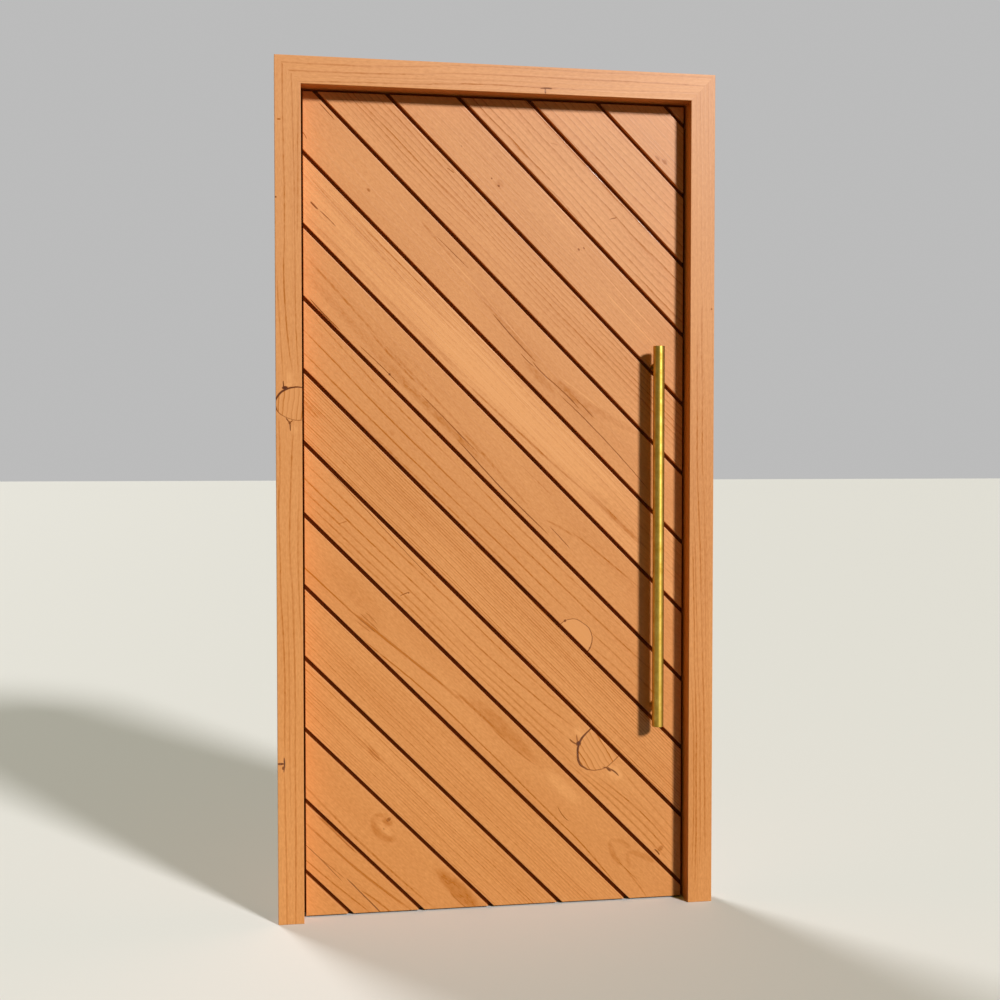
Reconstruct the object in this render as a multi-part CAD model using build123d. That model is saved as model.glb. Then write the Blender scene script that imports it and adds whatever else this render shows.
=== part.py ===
from build123d import *

import math
import os

# Interior door: a solid block frame and a leaf of diagonal boards with a long round pull on each face.
# Seen from the front, X runs to the right along the wall, Y runs away through the wall and Z is up.
# The origin is on the wall face of the hinge jamb, at floor level, in the middle of the frame's depth.

# Leaf
LEAF_WIDTH = 996.0
LEAF_HEIGHT = 2100.0
BOARD_THICKNESS = 12.0
INNER_PANEL_THICKNESS = 16.0
LIP_PANEL_THICKNESS = 16.0
LIP_OVERLAP = 15.0

# Diagonal boards
BOARD_PITCH = 129.6
GROOVE_WIDTH = 10.0
BOARD_ANGLE = 45.0
FIRST_GROOVE = 81.0

# Frame
JAMB_FACE = 65.0
HEAD_FACE = 69.0
LEAF_RECESS = 48.0

# Clearances round the leaf
EDGE_GAP = 6.0
FLOOR_GAP = 4.0
LIP_GAP = 6.0

# Round pulls
BAR_DIAMETER = 30.0
BAR_LENGTH = 1000.0
BAR_BOTTOM = 472.0
BAR_INSET = 77.0
BAR_STANDOFF = 42.0
BAR_CHAMFER = 1.0
POST_DIAMETER = 20.0
POST_INSET = 52.0
SADDLE_FIT = 0.1

# Barrel hinges
HINGE_INSET = 250.0
BARREL_DIAMETER = 16.0
BARREL_LENGTH = 42.0
BARREL_CHAMFER = 1.0
BARREL_TO_LIP = 6.0
HINGE_GAP = 0.3
PIN_DIAMETER = 8.0
PIN_LENGTH = 32.0
PIN_END_GAP = 1.0
PIN_FIT = 0.05
SHANK_DIAMETER = 8.0
SHANK_DEPTH = 40.0
SHANK_FIT = 0.05

# Layers through the leaf, from front to back
frame_depth = LEAF_RECESS + BOARD_THICKNESS + INNER_PANEL_THICKNESS - LIP_GAP
frame_front = -frame_depth / 2
frame_back = frame_depth / 2
leaf_front = frame_front + LEAF_RECESS
inner_front = leaf_front + BOARD_THICKNESS
lip_front = inner_front + INNER_PANEL_THICKNESS
lip_back = lip_front + LIP_PANEL_THICKNESS
leaf_back = lip_back + BOARD_THICKNESS

# Outlines seen from the front
opening_left = JAMB_FACE
leaf_left = opening_left + EDGE_GAP
leaf_right = leaf_left + LEAF_WIDTH
opening_right = leaf_right + EDGE_GAP
frame_right = opening_right + JAMB_FACE
leaf_bottom = FLOOR_GAP
leaf_top = leaf_bottom + LEAF_HEIGHT
opening_top = leaf_top + EDGE_GAP
frame_top = opening_top + HEAD_FACE
lip_left = opening_left - LIP_OVERLAP
lip_right = opening_right + LIP_OVERLAP
lip_top = opening_top + LIP_OVERLAP

# Hinge axis, beside the edge of the lip and in the middle of its panel, and the hinges along it
hinge_x = lip_left - BARREL_TO_LIP - BARREL_DIAMETER / 2
hinge_y = (lip_front + lip_back) / 2
hinge_heights = {
    "lower": leaf_bottom + HINGE_INSET,
    "middle": (leaf_bottom + leaf_top) / 2,
    "upper": leaf_top - HINGE_INSET,
}

# Pull places, shared by both faces of the leaf
bar_x = leaf_right - BAR_INSET
post_heights = {"lower": BAR_BOTTOM + POST_INSET, "upper": BAR_BOTTOM + BAR_LENGTH - POST_INSET}

FROM_END = (Align.CENTER, Align.CENTER, Align.MIN)
TO_FRONT = (0, -1, 0)
TO_BACK = (0, 1, 0)
TO_LATCH = (1, 0, 0)
UP = (0, 0, 1)


def slab(outline, front, back):
    """Give an outline drawn in X and Z its thickness between two depths."""
    return extrude(Plane.XZ.offset(-back) * outline, amount=back - front)


def rectangle(left, bottom, right, top):
    """Draw an upright rectangle from its lower left to its upper right corner."""
    return Pos((left + right) / 2, (bottom + top) / 2) * Rectangle(right - left, top - bottom)


def rod(start, direction, diameter, length):
    """Run a round rod from a point along a direction."""
    return Plane(origin=start, z_dir=direction) * Cylinder(diameter / 2, length, align=FROM_END)


def frame_members():
    """Cut two jambs and a head from one section, mitred from the outer to the inner corners."""
    outer_left = (0, frame_top)
    inner_left = (opening_left, opening_top)
    inner_right = (opening_right, opening_top)
    outer_right = (frame_right, frame_top)
    outlines = {
        "hinge_jamb": [(0, 0), (opening_left, 0), inner_left, outer_left],
        "latch_jamb": [(opening_right, 0), (frame_right, 0), outer_right, inner_right],
        "head": [outer_left, inner_left, inner_right, outer_right],
    }
    return {
        name: slab(make_face(Polyline(*corners, close=True)), frame_front, frame_back)
        for name, corners in outlines.items()
    }


def diagonal_boards(outline, corner, reach, lean, front, back):
    """Lay boards across an outline, from one lower corner up, with a groove between neighbours.

    Distances run square to the boards from the corner; lean is 1 from a left corner, -1 from a right one.
    """
    slope = math.radians(BOARD_ANGLE)
    across = (lean * math.sin(slope), math.cos(slope))
    grooves = [FIRST_GROOVE]
    while grooves[-1] + BOARD_PITCH + GROOVE_WIDTH / 2 < reach:
        grooves.append(grooves[-1] + BOARD_PITCH)
    starts = [-BOARD_PITCH] + [groove + GROOVE_WIDTH / 2 for groove in grooves]
    ends = [groove - GROOVE_WIDTH / 2 for groove in grooves] + [reach + BOARD_PITCH]
    boards = []
    for start, end in zip(starts, ends):
        middle = (start + end) / 2
        place = Pos(corner[0] + across[0] * middle, corner[1] + across[1] * middle)
        strip = place * Rot(0, 0, -lean * BOARD_ANGLE) * Rectangle(4 * reach, end - start)
        boards.append(slab(outline & strip, front, back))
    return boards


def board_reach(width, height):
    """Measure a rectangle square to the boards, from one lower corner to the opposite upper one."""
    slope = math.radians(BOARD_ANGLE)
    return width * math.sin(slope) + height * math.cos(slope)


def front_boards():
    """Board the front of the leaf, falling from upper left to lower right."""
    outline = rectangle(leaf_left, leaf_bottom, leaf_right, leaf_top)
    reach = board_reach(LEAF_WIDTH, LEAF_HEIGHT)
    boards = diagonal_boards(outline, (leaf_left, leaf_bottom), reach, 1, leaf_front, inner_front)
    return {f"front_board_{number:02d}": board for number, board in enumerate(boards, start=1)}


def back_boards():
    """Board the back of the leaf out to its lip, as the front looks after half a turn."""
    outline = rectangle(lip_left, leaf_bottom, lip_right, lip_top)
    reach = board_reach(leaf_right - lip_left, lip_top - leaf_bottom)
    boards = diagonal_boards(outline, (leaf_right, leaf_bottom), reach, -1, lip_back, leaf_back)
    return {"back_boards": Compound(children=boards)}


def barrel(foot):
    """Turn one hinge barrel with eased ends, standing on the hinge axis."""
    body = rod((hinge_x, hinge_y, foot), UP, BARREL_DIAMETER, BARREL_LENGTH)
    return chamfer(body.edges().filter_by(GeomType.CIRCLE), BARREL_CHAMFER)


def hinge_frame_half(height):
    """Lower barrel with its upright pin, and a shank that runs forward into the jamb."""
    foot = height - BARREL_LENGTH
    pin = rod((hinge_x, hinge_y, foot), UP, PIN_DIAMETER, BARREL_LENGTH + PIN_LENGTH)
    shank_end = frame_back - SHANK_DEPTH
    shank_start = (hinge_x, hinge_y, height - BARREL_LENGTH / 2)
    shank = rod(shank_start, TO_FRONT, SHANK_DIAMETER, hinge_y - shank_end)
    return barrel(foot) + pin + shank


def hinge_leaf_half(height):
    """Upper barrel that drops over the pin, and a shank that runs sideways into the lip."""
    foot = height + HINGE_GAP
    shank_start = (hinge_x, hinge_y, foot + BARREL_LENGTH / 2)
    shank = rod(shank_start, TO_LATCH, SHANK_DIAMETER, lip_left + SHANK_DEPTH - hinge_x)
    bore_length = PIN_LENGTH - HINGE_GAP + PIN_END_GAP
    bore = rod((hinge_x, hinge_y, foot), UP, PIN_DIAMETER + 2 * PIN_FIT, bore_length)
    return barrel(foot) + shank - bore


def shank_hole(start, direction):
    """Clear a hole in the timber for one hinge shank."""
    return rod(start, direction, SHANK_DIAMETER + 2 * SHANK_FIT, SHANK_DEPTH)


def pull(face, outward):
    """Make one pull: a straight round bar held off a leaf face by two round posts."""
    bar_y = face + outward[1] * BAR_STANDOFF
    blank = rod((bar_x, bar_y, BAR_BOTTOM), UP, BAR_DIAMETER, BAR_LENGTH)
    saddle = rod((bar_x, bar_y, BAR_BOTTOM), UP, BAR_DIAMETER + 2 * SADDLE_FIT, BAR_LENGTH)
    pieces = {"bar": chamfer(blank.edges().filter_by(GeomType.CIRCLE), BAR_CHAMFER)}
    for place, height in post_heights.items():
        post = rod((bar_x, face, height), outward, POST_DIAMETER, BAR_STANDOFF)
        pieces[f"{place}_post"] = post - saddle
    return pieces


def build():
    """Collect every piece of the door under its own name."""
    pieces = frame_members()
    inner_outline = rectangle(leaf_left, leaf_bottom, leaf_right, leaf_top)
    lip_outline = rectangle(lip_left, leaf_bottom, lip_right, lip_top)
    pieces["leaf_inner_panel"] = slab(inner_outline, inner_front, lip_front)
    pieces["leaf_lip_panel"] = slab(lip_outline, lip_front, lip_back)
    pieces.update(front_boards())
    pieces.update(back_boards())
    for place, height in hinge_heights.items():
        frame_hole = shank_hole((hinge_x, frame_back, height - BARREL_LENGTH / 2), TO_FRONT)
        leaf_hole = shank_hole((lip_left, hinge_y, height + HINGE_GAP + BARREL_LENGTH / 2), TO_LATCH)
        pieces["hinge_jamb"] -= frame_hole
        pieces["leaf_lip_panel"] -= leaf_hole
        pieces[f"{place}_hinge_frame_half"] = hinge_frame_half(height)
        pieces[f"{place}_hinge_leaf_half"] = hinge_leaf_half(height)
    for side, face, outward in (("front", leaf_front, TO_FRONT), ("back", leaf_back, TO_BACK)):
        for name, piece in pull(face, outward).items():
            pieces[f"{side}_pull_{name}"] = piece
    return pieces


os.makedirs("parts", exist_ok=True)
for node, shape in build().items():
    export_step(shape, f"parts/{node}.step")
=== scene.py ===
# %% [markdown]
# # A door of diagonal softwood boards
#
# The door is a block frame of three mitred timbers and one leaf. The leaf carries eighteen planed boards
# that fall from the upper left to the lower right, with a narrow groove between each two, and a long
# round brass pull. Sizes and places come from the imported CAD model, which loads first and stays where it
# is. This script adds what a solid model leaves out: eased edges, the growth rings of the timber, the
# brushed brass, the light and the camera.

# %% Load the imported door
import math

import bpy
import numpy as np
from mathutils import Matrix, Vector


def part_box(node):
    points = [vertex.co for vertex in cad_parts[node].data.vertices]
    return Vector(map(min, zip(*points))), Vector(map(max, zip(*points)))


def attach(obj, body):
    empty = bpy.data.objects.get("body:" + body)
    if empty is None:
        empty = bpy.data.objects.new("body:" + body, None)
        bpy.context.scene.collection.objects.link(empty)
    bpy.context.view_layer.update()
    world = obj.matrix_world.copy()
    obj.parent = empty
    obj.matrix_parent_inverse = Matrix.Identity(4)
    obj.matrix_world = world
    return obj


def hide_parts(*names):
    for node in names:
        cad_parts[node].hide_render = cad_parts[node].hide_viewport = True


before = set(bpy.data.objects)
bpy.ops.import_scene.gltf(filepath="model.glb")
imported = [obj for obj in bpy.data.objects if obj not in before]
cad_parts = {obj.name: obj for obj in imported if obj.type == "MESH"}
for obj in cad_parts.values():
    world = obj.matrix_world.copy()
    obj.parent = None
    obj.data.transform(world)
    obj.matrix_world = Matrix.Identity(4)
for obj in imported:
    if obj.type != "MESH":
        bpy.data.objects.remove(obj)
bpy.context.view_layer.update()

# %% [markdown]
# ## The viewpoint
#
# The photograph is taken from just left of the frame, a little above the middle of the door. The
# parallel edges of the frame gave the distance and the two angles, so the camera is set by them and not
# by eye. The lens stays at 50 mm with no shift.

# %% Set the camera
CAMERA_PLACE = (-0.02987, -3.55018, 1.18901)
CAMERA_TURN = math.radians(9.64171)
CAMERA_DROP = math.radians(1.88258)
LENS, SENSOR_WIDTH = 50, 36

camera = bpy.data.objects.new("camera", bpy.data.cameras.new("camera"))
camera.data.lens = LENS
camera.data.sensor_width = SENSOR_WIDTH
camera.location = CAMERA_PLACE
camera.rotation_euler = (math.pi / 2 - CAMERA_DROP, 0, -CAMERA_TURN)
bpy.context.collection.objects.link(camera)
bpy.context.scene.camera = camera
bpy.context.scene.view_settings.view_transform = "Standard"
print("camera at", CAMERA_PLACE)

# %% [markdown]
# ## Shader nodes in short calls
#
# A timber finish is a long formula. Written with bare node calls it would be hard to follow, so a small
# helper adds one node per call and returns its output. A value may be a number or the output of an
# earlier call.


# %% A helper that writes shader nodes like a formula
def linear(red, green, blue):
    """A colour given as screen values from 0 to 255, in the linear values of a shader (sRGB curve)."""
    screen = np.array([red, green, blue]) / 255
    low, high = screen / 12.92, ((screen + 0.055) / 1.055) ** 2.4
    return (*np.where(screen <= 0.04045, low, high).tolist(), 1.0)


class Finish:
    """One material, with a method for each kind of node that the finishes below use."""

    def __init__(self, name):
        self.material = bpy.data.materials.new(name)
        self.material.use_nodes = True
        self.tree = self.material.node_tree
        self.shader = self.tree.nodes["Principled BSDF"]

    def feed(self, socket, value):
        """Puts a number, a colour or another node's output into a socket."""
        if isinstance(value, bpy.types.NodeSocket):
            self.tree.links.new(value, socket)
        else:
            socket.default_value = value

    def calc(self, operation, *values, clamp=False):
        """One sum, such as MULTIPLY, or MULTIPLY_ADD: the first times the second, plus the third."""
        node = self.tree.nodes.new("ShaderNodeMath")
        node.operation, node.use_clamp = operation, clamp
        for socket, value in zip(node.inputs, values):
            self.feed(socket, value)
        return node.outputs[0]

    def ease(self, value, low, high):
        """0 at low, 1 at high, and a smooth step between them. Low may be the larger of the two."""
        node = self.tree.nodes.new("ShaderNodeMapRange")
        node.interpolation_type = "SMOOTHSTEP"
        self.feed(node.inputs["Value"], value)
        node.inputs["From Min"].default_value = low
        node.inputs["From Max"].default_value = high
        return node.outputs["Result"]

    def stretched(self, place, along, across):
        """A place scaled by one factor along the grain and another across it."""
        node = self.tree.nodes.new("ShaderNodeVectorMath")
        node.operation = "MULTIPLY"
        self.feed(node.inputs[0], place)
        node.inputs[1].default_value = (along, across, across)
        return node.outputs[0]

    def noise(self, place, detail=2.0, rough=0.5):
        """Soft noise about 0, from about -0.3 to 0.3."""
        node = self.tree.nodes.new("ShaderNodeTexNoise")
        self.feed(node.inputs["Vector"], place)
        node.inputs["Scale"].default_value = 1.0
        node.inputs["Detail"].default_value = detail
        node.inputs["Roughness"].default_value = rough
        return self.calc("SUBTRACT", node.outputs["Fac"], 0.5)

    def dice(self, value):
        """A steady random number from 0 to 1 for each whole number."""
        node = self.tree.nodes.new("ShaderNodeTexWhiteNoise")
        node.noise_dimensions = "1D"
        self.feed(node.inputs["W"], value)
        return node.outputs["Value"]

    def attribute(self, name):
        """A vector that the mesh carries at its points."""
        node = self.tree.nodes.new("ShaderNodeAttribute")
        node.attribute_name = name
        return node.outputs["Vector"]

    def split(self, vector):
        """The three numbers of a vector."""
        node = self.tree.nodes.new("ShaderNodeSeparateXYZ")
        self.feed(node.inputs[0], vector)
        return tuple(node.outputs)

    def tint(self, share, first, second):
        """A colour that goes from the first to the second as share goes from 0 to 1."""
        node = self.tree.nodes.new("ShaderNodeMix")
        node.data_type = "RGBA"
        self.feed(node.inputs["Factor"], share)
        self.feed(node.inputs[6], first)
        self.feed(node.inputs[7], second)
        return node.outputs[2]

    def relief(self, height, distance, strength=1.0):
        """Small relief on the surface, from a height in units of distance."""
        node = self.tree.nodes.new("ShaderNodeBump")
        self.feed(node.inputs["Height"], height)
        node.inputs["Distance"].default_value = distance
        node.inputs["Strength"].default_value = strength
        self.feed(self.shader.inputs["Normal"], node.outputs[0])


print("finish helper ready")

# %% [markdown]
# ## The timber
#
# The boards and the frame are planed softwood under a satin lacquer. A picture of wood would only fit
# one board, so the grain is worked out as it grows: rings round the heart of a trunk, cut by the saw.
# Each mesh carries the place of every point in its own board (`grain`: along the fibres, across them and
# through the thickness, in metres). A board cut far from the heart shows close straight lines. Late wood
# darkens slowly and ends sharply, so each ring is a slow rise, a thin dark line and a quick fall.

# %% Growth rings
EARLY_WOOD = linear(238, 163, 94)
LATE_WOOD = linear(193, 110, 25)
CRACK_WOOD = linear(90, 36, 0)
HEART_ACROSS = 0.32
HEART_BEHIND = 0.05


def ring_lines(f, count):
    """How dark the late wood is at a ring count.

    Within one ring, a weak slow rise plus a strong thin line, both ended by a quick fall. Each ring has
    its own weight, a steady random number.
    """
    phase = f.calc("FRACT", count)
    slow = f.calc("MULTIPLY", f.ease(phase, 0.05, 0.9), 0.35)
    line = f.calc("MULTIPLY_ADD", f.ease(phase, 0.66, 0.84), 0.65, slow)
    weight = f.calc("MULTIPLY_ADD", f.dice(f.calc("FLOOR", count)), 0.7, 0.3)
    return f.calc("MULTIPLY", f.calc("MULTIPLY", line, f.ease(phase, 1.0, 0.9)), weight)


def growth(f, grain, spacing, tilt):
    """Ring lines of one board: distance from the heart over the ring spacing, plus a slow wander.

    The lines run at a small tilt to the board and come and go along their length.
    """
    u, v, w = f.split(grain)
    across = f.calc("ADD", f.calc("MULTIPLY_ADD", u, -tilt, v), HEART_ACROSS)
    behind = f.calc("ADD", w, HEART_BEHIND)
    radius = f.calc("SQRT", f.calc("MULTIPLY_ADD", across, across, f.calc("MULTIPLY", behind, behind)))
    wander = f.calc("MULTIPLY", f.noise(f.stretched(grain, 1.4, 9)), 2.6)
    wobble = f.calc("MULTIPLY", f.noise(f.stretched(grain, 10, 60)), 0.5)
    count = f.calc("MULTIPLY_ADD", radius, 1 / spacing, f.calc("ADD", wander, wobble))
    fading = f.calc("MULTIPLY_ADD", f.noise(f.stretched(grain, 3, 45)), 2.2, 1.0, clamp=True)
    return f.calc("MULTIPLY", ring_lines(f, count), fading)


print("growth rings ready")

# %% [markdown]
# ## Knots, cracks and single lines
#
# What makes a board one of its kind are its marks: a growth line that wanders off, a crack, a knot that
# was cut out and plugged. They are drawn with two brushes. A stroke follows a smooth curve through three
# points and thins out towards its ends. A spot is an oval. Each can brown the wood, pale it (a negative
# brown) or darken it like a crack.


# %% Strokes, spots and plugs
THIN_EDGE, HEAVY_EDGE = 0.03, 0.045
PLUG_WAVE = 0.012


def stroke(f, u, v, path, half_width):
    """1 in the middle of a stroke, 0 outside it.

    The parabola through the three points gives v for each u. The distance from it over the half width,
    squared, plus the fourth power of the place along the stroke (-1 to 1), is 1 at the stroke's edge.
    """
    points = np.reshape(path, (3, 2))
    middle, half = (points[0, 0] + points[2, 0]) / 2, (points[2, 0] - points[0, 0]) / 2
    bend, lean, height = np.polyfit((points[:, 0] - middle) / half, points[:, 1], 2)
    t = f.calc("MULTIPLY_ADD", u, 1 / half, -middle / half)
    curve = f.calc("MULTIPLY_ADD", t, f.calc("MULTIPLY_ADD", t, bend, lean), height)
    off = f.calc("MULTIPLY", f.calc("SUBTRACT", v, curve), 1 / half_width)
    return f.ease(f.calc("MULTIPLY_ADD", off, off, f.calc("POWER", t, 4.0)), 1.0, 0.05)


def oval(f, u, v, place, half):
    """The two distances from a place over the half sizes, and the sum of their squares."""
    along = f.calc("MULTIPLY_ADD", u, 1 / half[0], -place[0] / half[0])
    aside = f.calc("MULTIPLY_ADD", v, 1 / half[1], -place[1] / half[1])
    return along, aside, f.calc("MULTIPLY_ADD", along, along, f.calc("MULTIPLY", aside, aside))


def plug(f, u, v, place, half, heavy, spacing, slope):
    """Inside of a plugged knot, its own ring lines, and its dark outline.

    The reach is the distance from the middle in half sizes, made uneven by noise. The outline lies where
    the reach is 1, and it is thicker and darker towards the heavy side. The ring lines are straight, at
    a slope to the board.
    """
    along, aside, square = oval(f, u, v, place, half)
    uneven = f.noise(f.stretched(f.attribute("grain"), 26, 26))
    reach = f.calc("MULTIPLY_ADD", uneven, 0.14, f.calc("SQRT", square))
    side = f.calc("MULTIPLY_ADD", along, heavy[0], f.calc("MULTIPLY", aside, heavy[1]))
    side = f.calc("DIVIDE", side, f.calc("MAXIMUM", reach, 0.05), clamp=True)
    thick = f.calc("MULTIPLY_ADD", f.calc("MULTIPLY", side, side), HEAVY_EDGE, THIN_EDGE)
    off = f.calc("DIVIDE", f.calc("ABSOLUTE", f.calc("SUBTRACT", reach, 1.0)), thick)
    outline = f.calc("MULTIPLY", f.ease(off, 1.0, 0.35), f.calc("MULTIPLY_ADD", side, 0.55, 0.4))
    wavy = f.calc("MULTIPLY", uneven, PLUG_WAVE / spacing)
    lean = f.calc("MULTIPLY_ADD", along, half[0] * slope / spacing, wavy)
    rings = ring_lines(f, f.calc("MULTIPLY_ADD", aside, half[1] / spacing, lean))
    return f.ease(reach, 1.02, 0.98), rings, outline


print("brushes ready")

# %% [markdown]
# ## The softwood finish
#
# One function makes the finish of one board from its ring spacing, the strength of its lines, its tone
# and its marks. The share of late wood is a sum: ring lines, fibres, short flecks, a slow mottle and the
# browning of the marks. It sets the colour between early and late wood. A crack or a knot's edge stains
# the wood round it like late wood and then goes towards dark brown. Lacquer lies smoother on dense late
# wood, so dark lines have a finer gloss. A board's own marks lie near its face and fade below it, so
# that none runs through to the back.

# %% The softwood finish
PLAIN_SHARE = 0.45
BROWNING = 1.2
MARKS_END, MARKS_FADE_FROM = 0.012, 0.003
HAIR, FLECK, MOTTLE, DASHES = 0.25, 0.8, 0.4, 0.2
CRACK_STAIN = 1.5
GLOSS, GLOSS_NOISE, GLOSS_LATE = 0.44, 0.12, -0.17
RELIEF = 0.0003


def softwood(name, look, tilt=0.0, knot=(), strokes=(), spots=()):
    """Lacquered softwood for one board: ring lines, fibres, flecks, mottle and the board's own marks.

    The look is the ring spacing in metres, the strength of the ring lines, that of the fibres, and how
    pale the board is. Marks are rows in millimetres. A stroke is three points, a half width, a brown and
    a crack share. A spot is a place, two half sizes and the same shares. A knot is a place, two half
    sizes, the heavy side, and the spacing and slope of its own lines.
    """
    spacing, strength, fibres, tone = look
    f = Finish(name)
    grain = f.attribute("grain")
    lines = growth(f, grain, spacing, tilt)
    fibre = f.noise(f.stretched(grain, 3.0, 130), 3.0, 0.6)
    hair = f.noise(f.stretched(grain, 14, 900), 2.0, 0.6)
    fleck = f.noise(f.stretched(grain, 75, 220), 2.0, 0.6)
    mottle = f.noise(f.stretched(grain, 2.2, 13), 3.0)
    dashes = f.ease(f.noise(f.stretched(grain, 22, 280)), 0.17, 0.3)
    share = f.calc("MULTIPLY_ADD", lines, strength, PLAIN_SHARE - tone - 0.15 * strength)
    parts = (fibre, fibres), (hair, HAIR), (fleck, FLECK), (mottle, MOTTLE), (dashes, DASHES)
    for part, weight in parts:
        share = f.calc("MULTIPLY_ADD", part, weight, share)
    dark = 0.0

    u, v, w = f.split(grain)
    near_face = f.ease(w, MARKS_END, MARKS_FADE_FROM)
    v = f.calc("MULTIPLY_ADD", f.noise(f.stretched(grain, 3.5, 9)), 0.008, v)
    v = f.calc("MULTIPLY_ADD", f.noise(f.stretched(grain, 45, 45)), 0.0016, v)
    if knot:
        sizes = np.array(knot) / 1000
        inside, rings, dark = plug(f, u, v, sizes[:2], sizes[2:4], knot[4:6], sizes[6], knot[7])
        inside, dark = f.calc("MULTIPLY", inside, near_face), f.calc("MULTIPLY", dark, near_face)
        own = f.calc("MULTIPLY_ADD", rings, 1.3, 0.2)
        share = f.calc("MULTIPLY_ADD", inside, f.calc("SUBTRACT", own, share), share)
    uneven = f.calc("MULTIPLY_ADD", f.noise(f.stretched(grain, 30, 60)), 1.6, 1.0)
    uneven = f.calc("MULTIPLY", uneven, near_face)
    drawn = []
    for *sizes, brown, crack in strokes:
        *path, half_width = np.array(sizes) / 1000
        drawn.append((stroke(f, u, v, path, half_width), brown, crack))
    for *sizes, brown, crack in spots:
        sizes = np.array(sizes) / 1000
        drawn.append((f.ease(oval(f, u, v, sizes[:2], sizes[2:])[2], 1.0, 0.1), brown, crack))
    for mark, brown, crack in drawn:
        mark = f.calc("MULTIPLY", mark, uneven)
        if brown:
            share = f.calc("MULTIPLY_ADD", mark, BROWNING * brown, share)
        if crack:
            dark = f.calc("MAXIMUM", f.calc("MULTIPLY", mark, crack), dark)
    stained = f.calc("MULTIPLY_ADD", dark, CRACK_STAIN, share)
    colour = f.tint(stained, EARLY_WOOD, LATE_WOOD)
    f.feed(f.shader.inputs["Base Color"], f.tint(dark, colour, CRACK_WOOD))
    gloss = f.calc("MULTIPLY_ADD", f.calc("ADD", fibre, hair), GLOSS_NOISE, GLOSS)
    gloss = f.calc("MULTIPLY_ADD", f.ease(stained, 0.55, 1.05), GLOSS_LATE, gloss)
    f.feed(f.shader.inputs["Roughness"], gloss)
    f.shader.inputs["Specular IOR Level"].default_value = 0.8
    height = f.calc("MULTIPLY_ADD", lines, 0.5, f.calc("MULTIPLY", hair, 0.6))
    f.relief(f.calc("MULTIPLY_ADD", dark, -0.5, height), RELIEF, 0.5)
    return f.material


print("softwood finish ready")

# %% [markdown]
# ## A planed board as a mesh
#
# A board could be a box with a Bevel modifier, but the boards are cut at 45 degrees and the mitres of
# the frame stay sharp, so each edge needs its own choice. Here the outline of a board is carried through
# the profile of its edge: a quarter round at the face, the straight side, and a quarter round at the
# back.

# %% Board outlines, eased edges and mesh pieces
ARRIS = 0.0012
ARRIS_STEPS = 4


def eased_slab(outline, eased, near, far):
    """Points and faces of a flat board.

    The outline's corners (x, z) run anticlockwise seen from the front. The profile is a row of (inset,
    depth) steps: a quarter circle of radius ARRIS from the face to the side, and another from the side
    to the back. At each step every eased edge moves in by the inset and an edge that isn't eased stays,
    and a corner is where its two moved edges meet. The rows and corners form the grid, and a flat cap
    closes each end.
    """
    corners = np.asarray(outline, float)
    edges = np.roll(corners, -1, 0) - corners
    inward = np.stack([-edges[:, 1], edges[:, 0]], 1) / np.linalg.norm(edges, axis=1)[:, None]
    moved = np.asarray(eased, float)
    normals = np.stack([np.roll(inward, 1, 0), inward], 1)
    shifts = np.stack([np.roll(moved, 1), moved], 1)
    corner_moves = np.linalg.solve(normals, shifts[:, :, None])[:, :, 0]

    turn = np.linspace(0, math.pi / 2, ARRIS_STEPS + 1)
    inset = ARRIS * (1 - np.cos(turn))
    drop = ARRIS * (1 - np.sin(turn))
    insets = np.concatenate([inset[::-1], inset])
    depths = np.concatenate([near + drop[::-1], far - drop])
    plan = corners[None] + insets[:, None, None] * corner_moves[None]
    rows, count = plan.shape[:2]
    points = np.stack([plan[..., 0], np.broadcast_to(depths[:, None], (rows, count)), plan[..., 1]], -1)

    index = np.arange(rows * count).reshape(rows, count)
    following = np.roll(index, -1, 1)
    sides = np.stack([index[:-1], index[1:], following[1:], following[:-1]], -1).reshape(-1, 4)
    return points.reshape(-1, 3), sides.tolist() + [index[0].tolist(), index[-1][::-1].tolist()]


def make_piece(name, points, faces, finishes, which=None, grain=None):
    """A mesh at the origin. `which` gives each face its finish, and the points carry `grain`."""
    mesh = bpy.data.meshes.new(name)
    mesh.from_pydata(points.tolist(), [], faces)
    for finish in finishes:
        mesh.materials.append(finish)
    if which is not None:
        mesh.polygons.foreach_set("material_index", np.asarray(which, np.int32))
    if grain is not None:
        layer = mesh.attributes.new("grain", "FLOAT_VECTOR", "POINT")
        layer.data.foreach_set("vector", np.ascontiguousarray(grain, np.float32).ravel())
    mesh.update()
    piece = bpy.data.objects.new(name, mesh)
    bpy.context.collection.objects.link(piece)
    return piece


print("board builder ready")

# %% [markdown]
# ## The frame
#
# Two jambs and a head, mitred at the upper corners. The mitre shows only by the grain that turns the
# corner, so the mitred edges stay sharp and the two timbers touch. On the jambs, places in the grain are
# height and distance from the left, and on the head the other way round.

# %% Outlines of the frame
BOX = {name: np.array(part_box(name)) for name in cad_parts}
X, Y, Z = np.eye(3)
head_low, head_high = BOX["head"]
left, right, under, top = head_low[0], head_high[0], head_low[2], head_high[2]
inner_left, inner_right = BOX["hinge_jamb"][1][0], BOX["latch_jamb"][0][0]
OUTLINES = {
    "hinge_jamb": [(left, 0), (inner_left, 0), (inner_left, under), (left, top)],
    "latch_jamb": [(inner_right, 0), (right, 0), (right, top), (inner_right, under)],
    "head": [(inner_left, under), (inner_right, under), (right, top), (left, top)],
}
EASED = {"hinge_jamb": [1, 1, 0, 1], "latch_jamb": [1, 1, 0, 1], "head": [1, 0, 1, 0]}
print("frame", left, right, under, top)

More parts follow.
